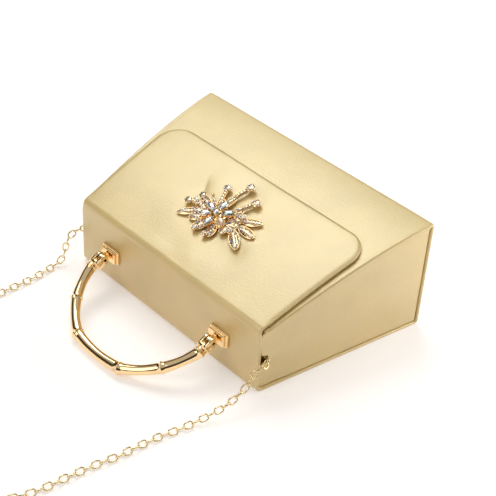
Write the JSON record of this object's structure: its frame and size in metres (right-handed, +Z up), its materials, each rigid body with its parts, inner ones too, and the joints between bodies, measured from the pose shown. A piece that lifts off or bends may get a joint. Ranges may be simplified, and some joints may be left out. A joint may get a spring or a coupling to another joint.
{
  "type": "evening purse",
  "caption": "Satin box purse lying on its back, with a hinged lid and flap, a flower brooch, a swinging bamboo-shaped metal handle and a shoulder chain.",
  "frame": {"origin": "centre of the back panel's outer face, on which the purse lies", "axes": "+X along the purse's width, +Y from the lid's top panel with the handle towards the deep bottom panel, +Z up, out of the front with the flap and the brooch"},
  "size_m": [0.2, 0.2955, 0.0756],
  "materials": {
    "satin": "pale gold satin over board",
    "lining": "thin woven lining",
    "rose_gold": "polished rose gold plating",
    "chain_gold": "polished pale gold plating",
    "crystal": "clear cut glass, foiled behind",
    "amber": "amber cut glass, foiled behind",
    "grey_green": "grey green cut glass, foiled behind",
    "steel": "plain steel"
  },
  "bodies": {
    "body": {"back_panel": "satin", "bottom_panel": "satin", "front_panel": "satin", "gusset_left": "satin", "gusset_right": "satin", "pouch_lining": "lining", "front_magnet": "steel", "dring_tab_left": "lining", "dring_tab_right": "lining", "dring_left": "chain_gold", "dring_right": "chain_gold", "chain_clasp_left": "chain_gold", "chain_clasp_right": "chain_gold", "chain_right": "chain_gold", "chain_coil": "chain_gold", "chain_left": "chain_gold"},
    "lid": {"top_panel": "satin", "top_lining": "lining", "handle_mount_left": "rose_gold", "handle_mount_right": "rose_gold", "mount_washer_left": "steel", "mount_washer_right": "steel", "mount_screw_left": "steel", "mount_screw_right": "steel"},
    "handle": {"handle": "rose_gold", "handle_pin_left": "rose_gold", "handle_pin_right": "rose_gold"},
    "flap": {"flap_panel": "satin", "flap_lining": "lining", "flap_magnet": "steel", "brooch_setting": "rose_gold", "brooch_back_plate": "steel", "petal_stone_1": "crystal", "petal_stone_2": "crystal", "petal_stone_3": "crystal", "petal_stone_4": "amber", "petal_stone_5": "grey_green", "petal_stone_6": "grey_green", "centre_stone": "crystal", "stem_stone_1": "crystal", "stem_stone_2": "crystal", "stem_stone_3": "crystal", "round_stone_1": "crystal", "round_stone_2": "crystal", "round_stone_3": "crystal", "round_stone_4": "crystal", "round_stone_5": "crystal"}
  },
  "joints": [
    {"name": "lid", "type": "hinge", "parent": "body", "child": "lid", "pos_m": [0, -0.06008, 0.00132], "axis": [1, 0, 0], "range_deg": [0, 65]},
    {"name": "flap", "type": "hinge", "parent": "lid", "child": "flap", "pos_m": [0, -0.06051, 0.04608], "axis": [1, 0, 0], "range_deg": [0, 90]},
    {"name": "handle", "type": "hinge", "parent": "lid", "child": "handle", "pos_m": [0, -0.0701, 0.02365], "axis": [-1, 0, 0], "range_deg": [-60, 90]}
  ]
}
